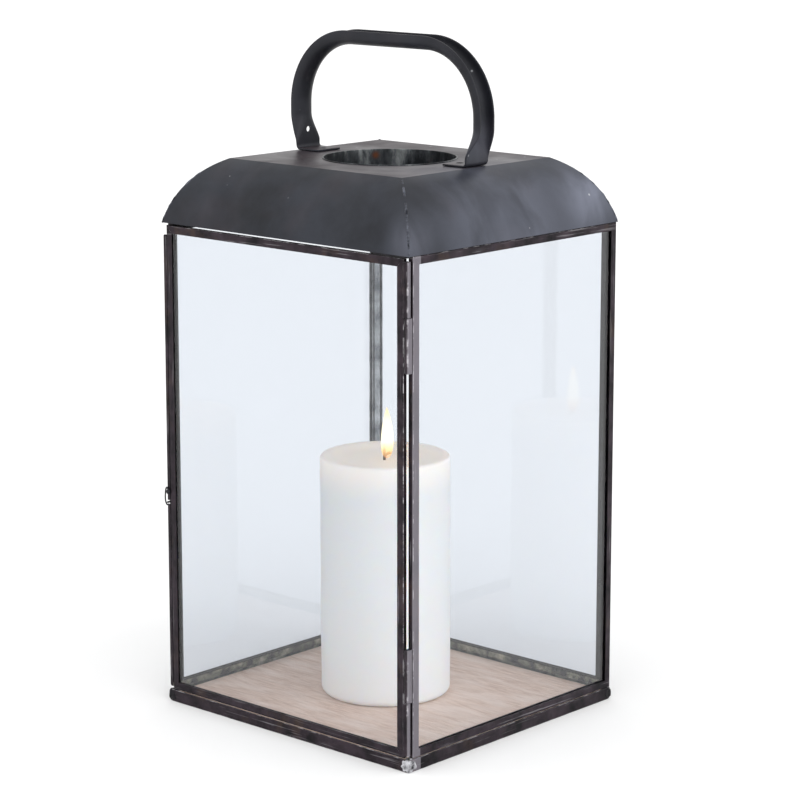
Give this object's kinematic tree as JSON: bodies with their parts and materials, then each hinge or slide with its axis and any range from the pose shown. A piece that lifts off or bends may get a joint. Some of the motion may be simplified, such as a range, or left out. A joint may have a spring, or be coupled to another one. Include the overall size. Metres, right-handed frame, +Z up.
{
  "type": "candle lantern",
  "caption": "Glazed sheet-metal candle lantern with a hinged glass door, curved hipped roof, chimney hole, strap handle, wooden floor board and a pillar candle.",
  "frame": {"origin": "centre of the base tray on the surface that the lantern stands on", "axes": "+Z up, towards the handle; -Y is the door side; +X is the hinge side of the door"},
  "size_m": [0.2015, 0.1876, 0.412],
  "materials": {
    "blackened_steel": "blackened sheet steel, waxed, soft satin",
    "blackened_zinc": "blackened folded zinc sheet with worn edges and solder",
    "bare_zinc": "bare zinc-coated sheet, streaked, with a spot of rust",
    "clear_glass": "clear float glass",
    "whitewashed_wood": "whitewashed board with fine grain",
    "ivory_wax": "moulded pillar-candle wax, slightly translucent",
    "cotton_wick": "charred braided cotton"
  },
  "bodies": {
    "root": {"base_tray": "blackened_zinc", "floor_board": "whitewashed_wood", "right_bottom_rail": "blackened_zinc", "right_top_rail": "blackened_zinc", "right_front_stile": "blackened_zinc", "right_back_stile": "blackened_zinc", "right_glass": "clear_glass", "back_bottom_rail": "blackened_zinc", "back_top_rail": "blackened_zinc", "back_right_stile": "blackened_zinc", "back_left_stile": "blackened_zinc", "back_glass": "clear_glass", "left_bottom_rail": "blackened_zinc", "left_top_rail": "blackened_zinc", "left_front_stile": "blackened_zinc", "left_back_stile": "blackened_zinc", "left_glass": "clear_glass", "upper_hinge_frame_knuckle": "blackened_zinc", "upper_hinge_pin": "blackened_steel", "lower_hinge_frame_knuckle": "blackened_zinc", "lower_hinge_pin": "blackened_steel", "latch_keeper_peg": "blackened_steel", "roof_front": "blackened_steel", "roof_right": "blackened_steel", "roof_back": "blackened_steel", "roof_left": "blackened_steel", "roof_top_plate": "blackened_steel", "roof_rim": "blackened_zinc", "chimney_sleeve": "bare_zinc", "handle_strap": "blackened_steel"},
    "door": {"door_bottom_rail": "blackened_zinc", "door_top_rail": "blackened_zinc", "door_latch_stile": "blackened_zinc", "door_hinge_stile": "blackened_zinc", "door_glass": "clear_glass", "door_stop_lip": "blackened_zinc", "upper_hinge_door_knuckle": "blackened_zinc", "lower_hinge_door_knuckle": "blackened_zinc", "latch_rivet": "blackened_steel"},
    "latch_hook": {"latch_hook": "blackened_steel"},
    "candle": {"candle_wax": "ivory_wax", "candle_wick": "cotton_wick"}
  },
  "joints": [
    {"name": "door_hinge", "type": "hinge", "parent": "root", "child": "door", "pos_m": [0.0974, -0.0918, 0.15], "axis": [0, 0, 1], "range_deg": [0, 170]},
    {"name": "latch_hook_turn", "type": "hinge", "parent": "door", "child": "latch_hook", "pos_m": [-0.09835, -0.093, 0.133], "axis": [0, 1, 0], "range_deg": [0, 120]},
    {"name": "candle_lift", "type": "slide", "parent": "root", "child": "candle", "axis": [0, 0, 1], "range_m": [0, 0.12]}
  ]
}
